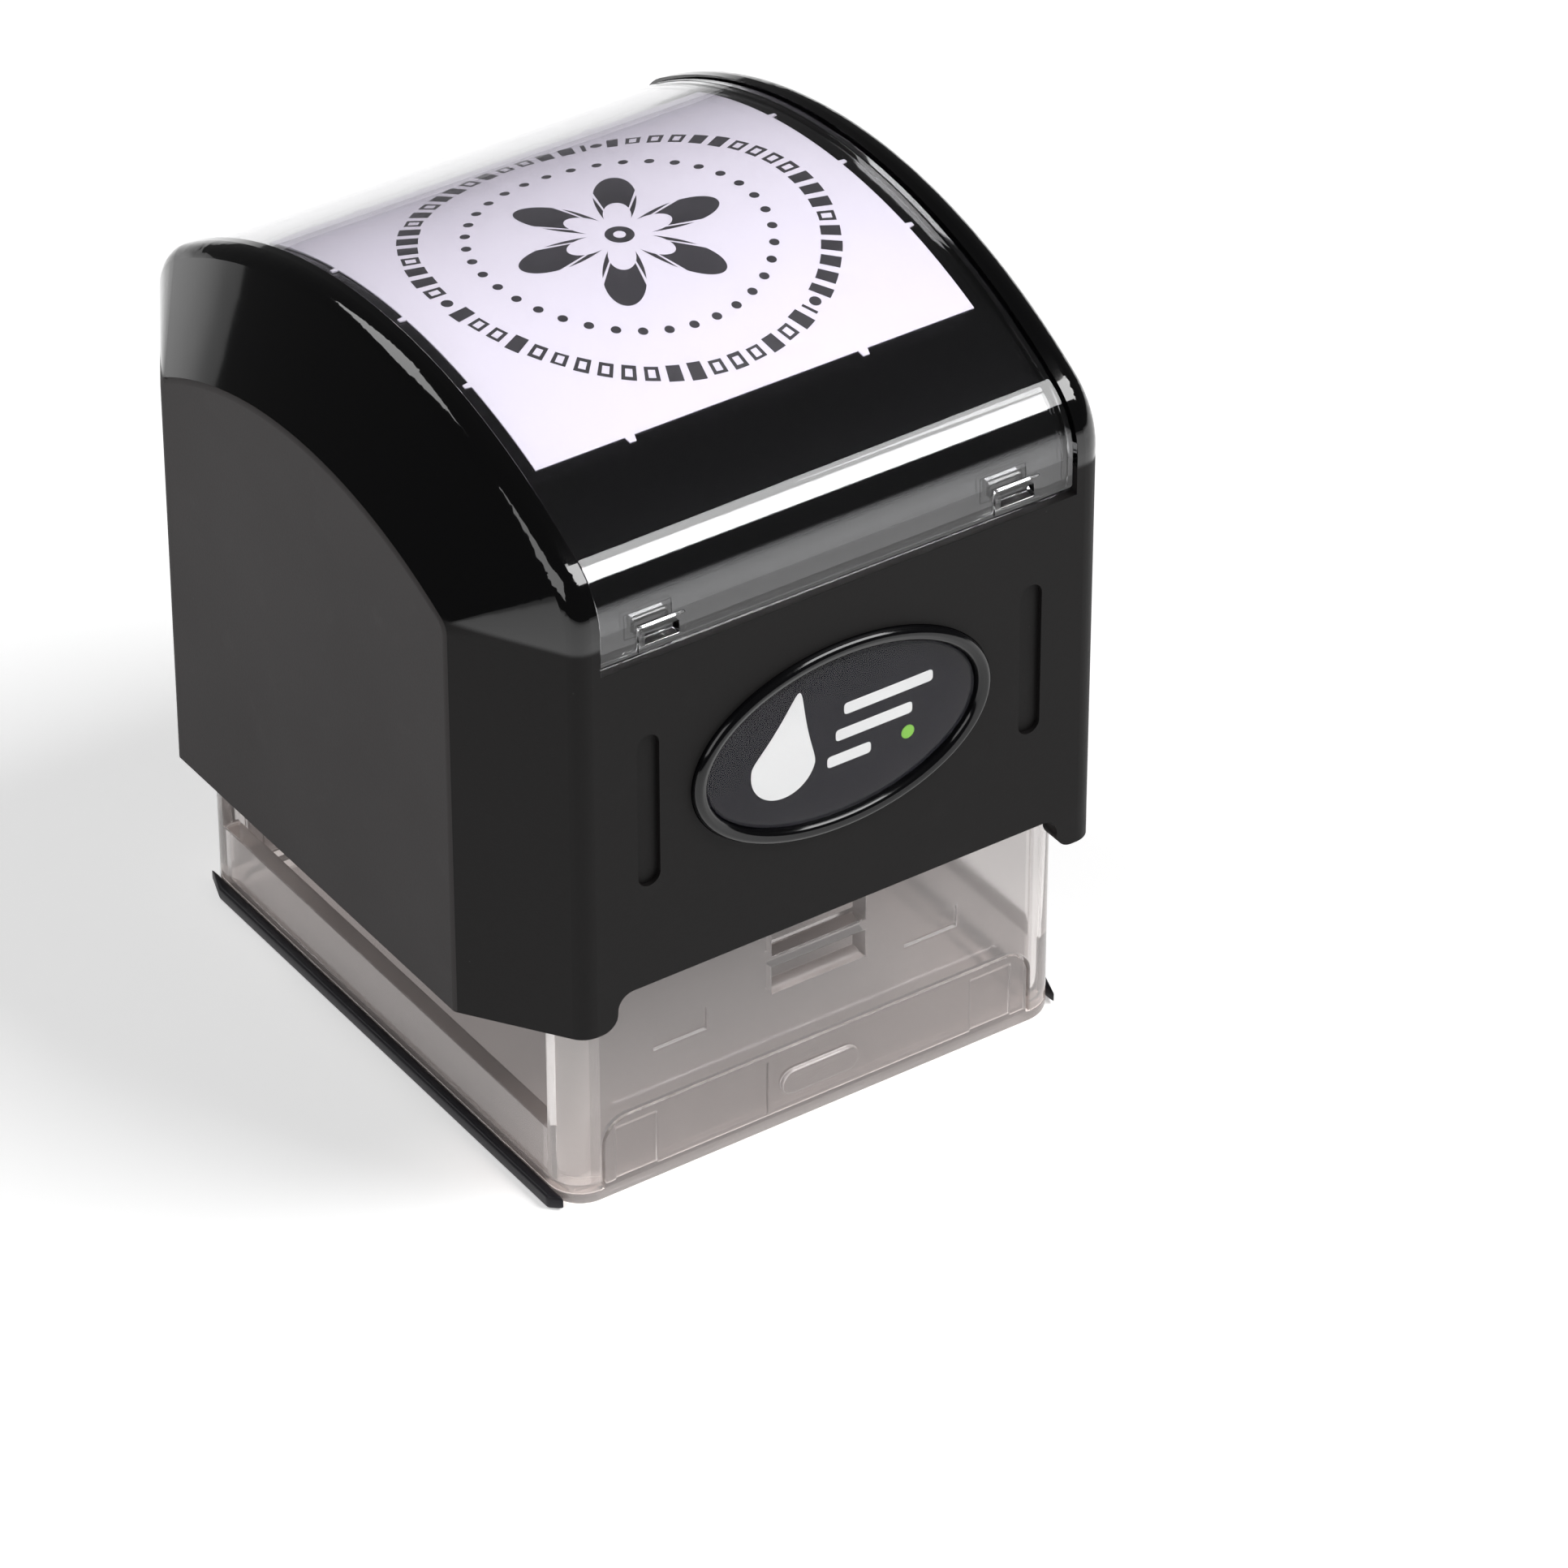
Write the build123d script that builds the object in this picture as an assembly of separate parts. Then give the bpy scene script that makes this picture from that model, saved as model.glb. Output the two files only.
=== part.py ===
from build123d import *
import math
import os

# Pre-inked hand stamp, in millimetres. X runs across the front, the badge faces -Y and +Z is up.
# z = 0 is the table under the dust cover, and x = y = 0 is the middle of the footprint.

# Clear base frame: it stays still while the housing slides down over it.
base_half_x = 24.5
base_half_y = 28.35
base_corner = 3.1
base_bottom = 1.2
base_top = 35.0
base_wall = 2.0
rail_wall = 1.6
rail_top = 7.0
post_return = 3.2
shelf_top = 24.0
shelf_thick = 2.0
shelf_inner_y = 21.5
wall_slot_x = 4.6
wall_slots = ((14.0, 16.6), (17.8, 20.8))
pad_x = (-13.6, 11.1)
pad_half = 2.6
pad_z = (13.2, 15.4)
pad_depth = 0.3
hook_x = (8.0, 14.0)
hook_reach = 0.9
hook_height = 2.0

# Return springs, one near each corner, standing on the shelf.
spring_x = 15.0
spring_y = 23.9
spring_radius = 1.85
spring_wire = 0.25
spring_top = 58.0
spring_turns = 9
spring_pin = 1.2
spring_pin_length = 6.0

# Dust cover: a shallow clear lid that snaps over the underside.
cover_floor = 0.6
cover_pocket = (22.2, 25.6)
flap_half_x = 21.0
flap_thick = 0.9
flap_top = 7.8
flap_corner = 2.4
flap_gap = 0.1
key_x = (15.6, 19.6)
key_depth = 0.4
key_top = 6.4
pill_length = 7.7
pill_height = 2.4
pill_z = 4.4
pill_proud = 0.4
grip_proud = 1.05
grip_half_y = 27.6
grip_height = 1.3
grip_taper = 3.0
grip_round = 0.6

# Housing: upright sides, round shoulders and an arched top, all about one arch centre.
arch_centre_z = 18.4
rim_radius = 53.0
rim_half_x = 24.6
house_half_y = 31.4
shoulder = 6.5
rim_round = 2.0
panel_x = 30.6
panel_half_y = 21.3
panel_radius = 43.4
panel_shoulder = 1.2
crease_round = 0.8
panel_bottom = 18.9
leg_bottom = 19.6
leg_round = 1.5
front_bottom = 22.8
leg_inner_x = 21.5
house_wall = 2.0
travel = 16.5
stop_x = (3.0, 7.0)
groove_x = 18.4
groove_width = 2.1
groove_z = (32.5, 47.0)
groove_depth = 0.45

# Index window over the arch, with its label on the deck beneath.
window_half_x = 22.5
window_bottom = 54.2
window_sink = 0.3
window_thick = 1.6
window_side_gap = 0.2
deck_gap = 0.25
deck_thick = 1.8
latch_x = (14.7, 19.1)
latch_z = (55.0, 57.8)
latch_pocket = 0.7
label_half_x = 20.8
label_half_y = 19.4
label_thick = 0.12
label_lift = 0.03

# Oval badge on the front.
badge_z = 39.8
badge_a = 14.4
badge_b = 9.0
badge_recess = 0.8
bezel_width = 1.35
bezel_height = 1.5
disc_thick = 0.6
dome_height = 0.9

# Die group, hung from the top of the housing.
die_face = 17.9
die_half = 20.1
die_flange_half = 20.4
die_flange = (20.4, 21.4)
cell_top = 27.4
holder_half = 21.2
holder_split = 24.0
holder_top = 29.0
holder_skin = 0.75
frame_bottom = 19.2
carrier_half = 17.0
carrier_plate = (29.1, 31.2)
carrier_web = (1.4, 5.0)
carrier_hole = (2.2, 6.6, 12.65)
column_radius = 5.0
column_top = 46.0
guide_x = 12.0
guide_pin = 2.0
guide_pin_top = 48.0
guide_boss_bottom = 38.0
screw_radius = 2.0
screw_bottom = 36.0
screw_neck = 1.5
screw_head_radius = 3.4
screw_head_height = 1.3
screw_boss_bottom = 52.0
screw_boss_radius = 4.6
clip_z = (51.0, 51.9)
clip_radius = 3.2
running_gap = 0.05


def block(x0, x1, y0, y1, z0, z1):
    """A box between two opposite corners."""
    return Pos((x0 + x1) / 2, (y0 + y1) / 2, (z0 + z1) / 2) * Box(x1 - x0, y1 - y0, z1 - z0)


def rounded_block(half_x, half_y, z0, z1, corner):
    """An upright prism with rounded vertical corners."""
    return Pos(0, 0, z0) * extrude(RectangleRounded(2 * half_x, 2 * half_y, corner), z1 - z0)


def post(radius, x, y, z0, z1):
    """An upright cylinder."""
    return Pos(x, y, (z0 + z1) / 2) * Cylinder(radius, z1 - z0)


def upright_plate(sketch, y0, y1, x=0.0, z=0.0):
    """A sketch drawn in X and Z, as a plate between y0 and y1."""
    return Pos(x, y1, z) * extrude(Plane.XZ * sketch, y1 - y0)


def both_ends(solid):
    """The solid and its twin at the back."""
    return solid + mirror(solid, about=Plane.XZ)


def all_corners(solid):
    """The solid in all four quadrants."""
    pair = solid + mirror(solid, about=Plane.YZ)
    return pair + mirror(pair, about=Plane.XZ)


def arch_face(x, half_y, radius, corner, bottom):
    """Section across the housing: upright sides, round shoulders of radius corner, round top."""
    side = half_y - corner
    rise = math.sqrt((radius - corner) ** 2 - side**2)
    spring_line = arch_centre_z + rise
    lean = math.atan2(rise, side)
    half_lean = lean / 2

    def on_shoulder(angle):
        return side + corner * math.cos(angle), spring_line + corner * math.sin(angle)

    def flip(point):
        return -point[0], point[1]

    foot = (half_y, spring_line)
    bend = on_shoulder(half_lean)
    knee = on_shoulder(lean)
    crown = (0, arch_centre_z + radius)
    outline = [
        Line((-half_y, bottom), (half_y, bottom)),
        Line((half_y, bottom), foot),
        ThreePointArc(foot, bend, knee),
        ThreePointArc(knee, crown, flip(knee)),
        ThreePointArc(flip(knee), flip(bend), flip(foot)),
        Line(flip(foot), (-half_y, bottom)),
    ]
    return Plane.YZ.offset(x) * make_face(outline)


def arch_prism(half_x, inset, bottom):
    """The housing's section moved in by inset, drawn out from -half_x to half_x."""
    face = arch_face(-half_x, house_half_y - inset, rim_radius - inset, shoulder - inset, bottom)
    return extrude(face, 2 * half_x, dir=(1, 0, 0))


def arch_ends(inner_x, big, outer_x, small, bottom):
    """Both tapered ends: each goes from a big section at inner_x to a small one at outer_x."""
    end = loft([arch_face(inner_x, *big, bottom), arch_face(outer_x, *small, bottom)], ruled=True)
    return end + mirror(end, about=Plane.YZ)


def make_base_frame():
    body = rounded_block(base_half_x, base_half_y, base_bottom, base_top, base_corner)
    inner_y = base_half_y - base_wall
    body -= rounded_block(base_half_x - rail_wall, inner_y, base_bottom - 1, base_top + 1, 1.4)
    open_y = base_half_y - post_return
    body -= block(-base_half_x - 1, base_half_x + 1, -open_y, open_y, rail_top, base_top + 1)
    shelf = block(-base_half_x + 1, base_half_x - 1, -inner_y - 0.5, -shelf_inner_y,
                  shelf_top - shelf_thick, shelf_top)
    body += both_ends(shelf)
    body += all_corners(post(spring_pin, spring_x, spring_y, shelf_top - 1, shelf_top + spring_pin_length))
    hook = block(*hook_x, base_half_y - 1, base_half_y + hook_reach, base_top - hook_height, base_top)
    body += all_corners(chamfer(hook.edges().filter_by(Axis.X).group_by(Axis.Z)[-1].sort_by(Axis.Y)[-1], 0.8))
    # A shallow bay at each end takes the dust cover's flap, and two keyways take its ribs.
    bay_depth = flap_thick + flap_gap
    bay = upright_plate(flap_outline(flap_half_x + 0.2, flap_top + 0.15, base_bottom - 1),
                        -base_half_y - 1, -base_half_y + bay_depth)
    keyway = block(key_x[0] - 0.1, key_x[1] + 0.1, base_half_y - bay_depth - key_depth - 0.05,
                   base_half_y, base_bottom - 1, key_top + 0.1)
    body -= both_ends(bay)
    body -= all_corners(keyway)
    return body - end_wall_slots()


def end_wall_slots():
    """Two slots with a bar between them, and a shallow moulded pad each side, in both end walls."""
    outer = -base_half_y - 1
    slots = [block(-wall_slot_x, wall_slot_x, outer, -base_half_y + base_wall + 1, *z) for z in wall_slots]
    slots += [block(x - pad_half, x + pad_half, outer, -base_half_y + pad_depth, *pad_z) for x in pad_x]
    return both_ends(slots[0] + slots[1:])


def flap_outline(half_x, top, bottom):
    """Rectangle with its two upper corners rounded."""
    shape = Pos(0, (top + bottom) / 2) * Rectangle(2 * half_x, top - bottom)
    return fillet(shape.vertices().group_by(Axis.Y)[-1], flap_corner)


def make_dust_cover():
    body = rounded_block(base_half_x, base_half_y, 0, base_bottom, base_corner)
    body = chamfer(body.faces().sort_by(Axis.Z)[0].edges(), 0.3)
    body -= rounded_block(*cover_pocket, cover_floor, base_bottom + 1, 2.0)
    flap = upright_plate(flap_outline(flap_half_x, flap_top, base_bottom - 0.4),
                         -base_half_y, -base_half_y + flap_thick)
    rib = block(*key_x, base_half_y - flap_thick - key_depth, base_half_y - flap_thick + 0.1,
                base_bottom - 0.2, key_top)
    pill = upright_plate(SlotOverall(pill_length, pill_height), -base_half_y - pill_proud,
                         -base_half_y + 0.2, z=pill_z)
    pill = fillet(pill.faces().sort_by(Axis.Y)[0].edges(), 0.25)
    return body + both_ends(flap) + all_corners(rib) + both_ends(pill)


def make_cover_grip(turn):
    """A thin dark strip along one bottom edge, blunt at one end and pointed at the other."""
    inner = -base_half_x
    outer = inner - grip_proud
    outline = Polyline((inner, -grip_half_y + 2), (inner, grip_half_y), (outer, grip_half_y - grip_taper),
                       (outer, -grip_half_y + 1), (inner, -grip_half_y), close=True)
    strip = extrude(make_face(outline), grip_height)
    return Rot(0, 0, turn) * fillet(strip.edges().filter_by(Axis.Z).sort_by(Axis.Y)[1:2], grip_round)


def make_return_spring(x, y):
    height = spring_top - shelf_top
    coil_height = height - 2 * spring_wire
    path = Helix(coil_height / spring_turns, coil_height, spring_radius)
    start = path @ 0
    wire = sweep(Plane(start, z_dir=path % 0) * Circle(spring_wire), path=path, is_frenet=True)
    return Pos(x, y, shelf_top + spring_wire) * wire


def make_housing_shell():
    rim = (house_half_y, rim_radius, shoulder)
    panel = (panel_half_y, panel_radius, panel_shoulder)
    body = arch_prism(rim_half_x, 0, panel_bottom)
    body += arch_ends(rim_half_x, rim, panel_x, panel, panel_bottom)
    body = fillet(section_edges(body, panel_x), crease_round)
    body = fillet(section_edges(body, rim_half_x), rim_round)
    body -= housing_cavity()
    body -= window_bay()
    body += housing_bosses()
    body -= housing_bores()
    body -= front_trim()
    return body


def section_edges(body, x):
    """The edges of the sections at -x and x, less the flat bottom ones."""
    return [e for e in body.edges() if all(abs(abs(v.X) - x) < 0.01 for v in e.vertices())
            and e.bounding_box().max.Z > panel_bottom + 0.5]


def housing_cavity():
    low_y = house_half_y - house_wall
    low_rim = (low_y, rim_radius - 2.0, shoulder - 2.0)
    low_panel = (panel_half_y - 1.2, panel_radius - 2.6, 0.5)
    low = arch_prism(rim_half_x - 0.6, house_wall, panel_bottom - 1)
    low += arch_ends(rim_half_x - 0.6, low_rim, panel_x - house_wall, low_panel, panel_bottom - 1)
    low &= block(-40, 40, -40, 40, 0, window_bottom - 2.2)
    deep = window_sink + window_thick + deck_gap + deck_thick
    high = arch_prism(rim_half_x - 0.6, deep, panel_bottom - 1)
    high_rim = (house_half_y - deep, rim_radius - deep, shoulder - deep)
    high_panel = (panel_half_y - 1.8, panel_radius - 2.8, 0.3)
    high += arch_ends(rim_half_x - 0.6, high_rim, panel_x - house_wall, high_panel, panel_bottom - 1)
    return low + high


def window_bay():
    """The recess over the deck that the index window fills."""
    inset = window_sink + window_thick + deck_gap
    reach = window_half_x + window_side_gap
    bay = arch_prism(reach, -5, window_bottom - 0.1) - arch_prism(reach, inset, panel_bottom)
    pocket_y = house_half_y - inset - latch_pocket
    pocket = block(latch_x[0] + 0.4, latch_x[1] - 0.4, pocket_y, house_half_y, latch_z[0] + 0.4,
                   latch_z[1] - 0.4)
    return bay + all_corners(pocket)


def housing_bosses():
    """Spring seats, stop ribs, catch ledges and the die group's guides, all part of the shell."""
    ceiling = arch_prism(rim_half_x, window_sink + window_thick + deck_gap + 0.3, 0)
    seat = post(2.1, spring_x, spring_y, spring_top, 75)
    pin = post(spring_pin, spring_x, spring_y, spring_top - spring_pin_length, spring_top + 1)
    inner_y = house_half_y - house_wall
    stop = block(*stop_x, base_half_y - base_wall, inner_y - 1.2, base_top + travel + running_gap, 75)
    ledge = block(*hook_x, base_half_y + 0.15, inner_y + 0.5, base_top - hook_height - 2.6,
                  base_top - hook_height)
    guide = post(guide_pin + 1.6, guide_x, 0, guide_boss_bottom, 75)
    rib = block(0, guide_x, -0.8, 0.8, screw_boss_bottom + 2, 75)
    bosses = all_corners(seat + pin + stop) + all_corners(guide + rib)
    bosses += post(screw_boss_radius, 0, 0, screw_boss_bottom, 75)
    return (bosses & ceiling) + all_corners(ledge)


def housing_bores():
    deck_top = arch_centre_z + rim_radius - window_sink - window_thick - deck_gap
    head = post(screw_head_radius + 0.2, 0, 0, deck_top - screw_head_height - 0.25, 75)
    bores = head + post(screw_radius + running_gap, 0, 0, screw_boss_bottom - 1, 75)
    for x in (-guide_x, guide_x):
        bores += post(guide_pin + running_gap, x, 0, guide_boss_bottom - 1, guide_pin_top + 2)
    return bores


def front_trim():
    """Cut from both ends: the slope under the legs, the space between them, the grooves and the badge seat."""
    outer = house_half_y + 1
    inner = house_half_y - house_wall - 0.9
    rise = (leg_bottom - panel_bottom) / (house_half_y - panel_half_y)
    under = panel_bottom - 2
    slope = Polyline((panel_half_y, panel_bottom), (outer, panel_bottom + rise * (outer - panel_half_y)),
                     (outer, under), (panel_half_y, under), close=True)
    cut = extrude(Plane.YZ.offset(-panel_x - 1) * make_face(slope), 2 * panel_x + 2, dir=(1, 0, 0))
    gap = Pos(0, (leg_bottom + front_bottom) / 2) * Rectangle(2 * leg_inner_x, front_bottom - leg_bottom)
    gap += Pos(0, leg_bottom - 1) * Rectangle(2 * leg_inner_x + 4 * leg_round, 2)
    gap = fillet(gap.vertices().group_by(Axis.Y)[1:], leg_round)
    cut += upright_plate(gap, inner, outer)
    groove = SlotOverall(groove_z[1] - groove_z[0], groove_width, rotation=90)
    floor = house_half_y - groove_depth
    for x in (-groove_x, groove_x):
        cut += upright_plate(groove, floor, outer, x=x, z=sum(groove_z) / 2)
    seat = upright_plate(Ellipse(badge_a, badge_b), -outer, -house_half_y + badge_recess, z=badge_z)
    return both_ends(cut) + seat


def make_index_window():
    shell = arch_prism(window_half_x, window_sink, window_bottom)
    shell -= arch_prism(window_half_x + 1, window_sink + window_thick, window_bottom - 1)
    hole = block(*latch_x, house_half_y - 4, house_half_y + 1, *latch_z)
    shell -= all_corners(hole)
    return fillet([e for e in shell.edges() if all(abs(abs(v.X) - window_half_x) < 0.01
                                                   for v in e.vertices())], 0.3)


def make_index_label():
    inset = window_sink + window_thick + deck_gap - label_lift
    sheet = arch_prism(label_half_x, inset - label_thick, window_bottom)
    sheet -= arch_prism(label_half_x + 1, inset, window_bottom - 1)
    return sheet & block(-40, 40, -label_half_y, label_half_y, 0, 80)


def oval_plate(inset, y0, y1):
    """An upright oval plate inside the badge's outline, between y0 and y1."""
    return upright_plate(Ellipse(badge_a - inset, badge_b - inset), y0, y1, z=badge_z)


def badge_parts():
    floor = -house_half_y + badge_recess
    ring = oval_plate(0.05, floor - bezel_height, floor)
    ring = fillet(ring.faces().sort_by(Axis.Y)[0].edges(), 0.6)
    ring -= oval_plate(bezel_width, floor - bezel_height - 1, floor + 1)
    disc = oval_plate(bezel_width + 0.05, floor - disc_thick, floor)
    dome = oval_plate(bezel_width + 0.05, floor - disc_thick - dome_height, floor - disc_thick)
    dome = fillet(dome.faces().sort_by(Axis.Y)[0].edges(), 0.7)
    return {"badge_bezel": ring, "badge_disc": disc, "badge_dome": dome}


def make_depth_screw():
    deck_top = arch_centre_z + rim_radius - window_sink - window_thick - deck_gap
    head_top = deck_top - 0.15
    head = post(screw_head_radius, 0, 0, head_top - screw_head_height, head_top)
    head = chamfer(head.edges().group_by(Axis.Z)[-1], 0.2)
    slot = block(-0.45, 0.45, -screw_head_radius, screw_head_radius, head_top - 0.7, head_top + 1)
    shaft = post(screw_radius, 0, 0, screw_bottom, head_top - 0.5)
    shaft = chamfer(shaft.edges().group_by(Axis.Z)[0], 0.3)
    neck = post(screw_radius + 1, 0, 0, *clip_z) - post(screw_neck, 0, 0, clip_z[0] - 1, clip_z[1] + 1)
    return head - slot + (shaft - neck)


def make_screw_clip():
    """Open retaining clip in the screw's neck, under the boss."""
    ring = post(clip_radius, 0, 0, *clip_z) - post(screw_neck + 0.02, 0, 0, clip_z[0] - 1, clip_z[1] + 1)
    return ring - block(-1.1, 1.1, 0.5, clip_radius + 1, clip_z[0] - 1, clip_z[1] + 1)


def make_die_carrier():
    body = rounded_block(carrier_half, carrier_half, *carrier_plate, 3.0)
    body += post(column_radius, 0, 0, carrier_plate[1] - 0.5, column_top)
    for turn in (45, 135):
        web = Rot(0, 0, turn) * Box(2 * carrier_half, *carrier_web)
        body += Pos(0, 0, carrier_plate[1] + carrier_web[1] / 2 - 0.1) * web
    for x in (-guide_x, guide_x):
        pin = post(guide_pin, x, 0, carrier_plate[1] - 0.5, guide_pin_top)
        body += chamfer(pin.edges().group_by(Axis.Z)[-1], 0.5)
    body -= post(screw_radius + running_gap, 0, 0, screw_bottom - 2.5, column_top + 1)
    return body - all_corners(post(*carrier_hole, carrier_plate[0] - 1, carrier_plate[1] + 8))


def make_die_holder():
    inner = holder_half - holder_skin
    body = rounded_block(holder_half, holder_half, holder_split + 0.05, holder_top, 1.5)
    body -= rounded_block(inner, inner, holder_split - 1, cell_top + 0.05, 1.0)
    key = block(-3, 3, carrier_half + 0.1, carrier_half + 1.3, holder_top - 0.2, carrier_plate[1] + 0.4)
    return body + both_ends(key)


def make_die_frame():
    inner = holder_half - holder_skin
    body = rounded_block(holder_half, holder_half, frame_bottom, holder_split, 1.5)
    body = chamfer(body.faces().sort_by(Axis.Z)[0].edges(), 0.3)
    body -= rounded_block(die_half + 0.1, die_half + 0.1, frame_bottom - 1, holder_split + 1, 0.8)
    return body - rounded_block(inner, inner, die_flange[0] - 0.05, holder_split + 1, 1.0)


def make_printing_die():
    block_part = rounded_block(die_half, die_half, die_face, die_flange[0] + 0.2, 0.7)
    return block_part + rounded_block(die_flange_half, die_flange_half, *die_flange, 0.9)


def make_ink_cell():
    return rounded_block(die_flange_half, die_flange_half, die_flange[1], cell_top, 0.9)


def build():
    parts = {
        "base_frame": make_base_frame(),
        "dust_cover": make_dust_cover(),
        "cover_grip_left": make_cover_grip(0),
        "cover_grip_right": make_cover_grip(180),
        "housing_shell": make_housing_shell(),
        "index_window": make_index_window(),
        "index_label": make_index_label(),
        "depth_screw": make_depth_screw(),
        "screw_clip": make_screw_clip(),
        "die_carrier": make_die_carrier(),
        "die_holder": make_die_holder(),
        "die_frame": make_die_frame(),
        "ink_cell": make_ink_cell(),
        "printing_die": make_printing_die(),
    }
    parts.update(badge_parts())
    for end, y in (("front", -spring_y), ("rear", spring_y)):
        for side, x in (("left", -spring_x), ("right", spring_x)):
            parts[f"return_spring_{end}_{side}"] = make_return_spring(x, y)
    return parts


os.makedirs("parts", exist_ok=True)
for name, solid in build().items():
    export_step(solid, f"parts/{name}.step")
    print(name, round(solid.volume, 1))
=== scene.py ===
import bpy
import bmesh
import math
from mathutils import Matrix, Vector


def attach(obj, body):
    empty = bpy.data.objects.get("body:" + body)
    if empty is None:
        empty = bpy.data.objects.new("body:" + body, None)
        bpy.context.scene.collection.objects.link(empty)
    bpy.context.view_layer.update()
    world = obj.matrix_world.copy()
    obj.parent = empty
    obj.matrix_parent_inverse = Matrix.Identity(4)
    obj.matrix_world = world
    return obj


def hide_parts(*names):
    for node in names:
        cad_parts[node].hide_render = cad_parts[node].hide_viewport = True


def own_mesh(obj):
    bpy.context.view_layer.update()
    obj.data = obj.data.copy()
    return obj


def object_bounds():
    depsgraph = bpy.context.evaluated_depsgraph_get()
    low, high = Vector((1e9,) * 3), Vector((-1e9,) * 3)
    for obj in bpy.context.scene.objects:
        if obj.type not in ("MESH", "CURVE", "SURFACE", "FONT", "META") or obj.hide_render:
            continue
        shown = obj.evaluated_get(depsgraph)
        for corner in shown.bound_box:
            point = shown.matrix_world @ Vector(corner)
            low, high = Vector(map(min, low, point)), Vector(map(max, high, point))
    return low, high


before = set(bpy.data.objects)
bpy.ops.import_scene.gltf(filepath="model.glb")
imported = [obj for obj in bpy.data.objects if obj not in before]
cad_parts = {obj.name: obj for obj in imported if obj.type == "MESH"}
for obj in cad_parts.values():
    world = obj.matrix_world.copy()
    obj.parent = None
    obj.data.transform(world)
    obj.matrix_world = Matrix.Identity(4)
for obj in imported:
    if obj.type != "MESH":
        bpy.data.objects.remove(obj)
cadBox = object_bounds()
mm = 0.001
print("frame loaded:", len(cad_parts), "nodes")


# shader maths: a Val is one output socket, and expressions on it add nodes
class Val:
    def __init__(self, mat, socket):
        self.mat = mat
        self.socket = socket

    def calc(self, operation, *others):
        return self.mat.node("ShaderNodeMath", {"operation": operation}, dict(enumerate((self,) + others)))

    def __add__(self, other):
        return self.calc("ADD", other)

    def __sub__(self, other):
        return self.calc("SUBTRACT", other)

    def __rsub__(self, other):
        return self.mat.node("ShaderNodeMath", {"operation": "SUBTRACT"}, {0: other, 1: self})

    def __mul__(self, other):
        return self.calc("MULTIPLY", other)

    def __truediv__(self, other):
        return self.calc("DIVIDE", other)

    def __lt__(self, other):
        return self.calc("LESS_THAN", other)

    def __gt__(self, other):
        return self.calc("GREATER_THAN", other)

    def __pow__(self, other):
        return self.calc("POWER", other)

    def __abs__(self):
        return self.calc("ABSOLUTE")

    __radd__ = __add__
    __rmul__ = __mul__

    def root(self):
        return self.calc("SQRT")

    def cosine(self):
        return self.calc("COSINE")

    def either(self, other):
        return self.calc("MAXIMUM", other)

    def within(self, middle, reach):  # 1 inside a band about middle
        return abs(self - middle) < reach

    def step(self, low, high):  # soft step from 0 at low to 1 at high
        inputs = {"Value": self, "From Min": low, "From Max": high}
        return self.mat.node("ShaderNodeMapRange", {"interpolation_type": "SMOOTHSTEP"}, inputs)


class Mat:
    def __init__(self, name):
        self.material = bpy.data.materials.new(name)
        self.material.use_nodes = True
        self.tree = self.material.node_tree
        self.tree.nodes.clear()
        self.out = self.tree.nodes.new("ShaderNodeOutputMaterial")

    def node(self, kind, settings=None, inputs=None, out=0):
        made = self.tree.nodes.new(kind)
        for key, value in (settings or {}).items():
            setattr(made, key, value)
        for key, value in (inputs or {}).items():
            if isinstance(value, Val):
                self.tree.links.new(value.socket, made.inputs[key])
            else:
                made.inputs[key].default_value = value
        return Val(self, made.outputs[out])

    def spot(self):  # where a point is on the object, in millimetres
        coords = self.node("ShaderNodeTexCoord", out="Object")
        return self.node("ShaderNodeVectorMath", {"operation": "SCALE"}, {0: coords, "Scale": 1 / mm})

    def axes(self):  # the same place as three values
        first = self.node("ShaderNodeSeparateXYZ", inputs={0: self.spot()})
        return [Val(self, socket) for socket in first.socket.node.outputs]

    def noise(self, size, detail, rough=0.5, stretch=(1, 1, 1)):  # size of a feature in millimetres
        place = self.node("ShaderNodeVectorMath", {"operation": "MULTIPLY"}, {0: self.spot(), 1: stretch})
        inputs = {"Vector": place, "Scale": 1.0 / size, "Detail": detail, "Roughness": rough}
        return self.node("ShaderNodeTexNoise", None, inputs)

    def cells(self, size):  # distance from scattered points, size apart in millimetres
        return self.node("ShaderNodeTexVoronoi", None, {"Vector": self.spot(), "Scale": 1.0 / size})

    def blend(self, share, first, second):  # the first colour at 0, the second at 1
        inputs = {0: share, 6: first, 7: second}  # 6, 7 and output 2 are the colour sockets
        return self.node("ShaderNodeMix", {"data_type": "RGBA"}, inputs, out=2)

    def bump(self, height, strength, depth):  # depth in millimetres
        inputs = {"Height": height, "Strength": strength, "Distance": depth * mm}
        return self.node("ShaderNodeBump", None, inputs)

    def finish(self, inputs):
        shader = self.node("ShaderNodeBsdfPrincipled", None, inputs)
        self.tree.links.new(shader.socket, self.out.inputs[0])
        return self.material

    def finishClear(self, veil, inputs):  # clear plastic that lets lamps through to what is behind it
        shader = self.node("ShaderNodeBsdfPrincipled", None, inputs)
        passing = self.node("ShaderNodeBsdfTransparent", None, {0: veil})
        lamp = self.node("ShaderNodeLightPath", out="Is Shadow Ray")
        both = self.node("ShaderNodeMixShader", None, {0: lamp, 1: shader, 2: passing})
        self.tree.links.new(both.socket, self.out.inputs[0])
        return self.material


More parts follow.
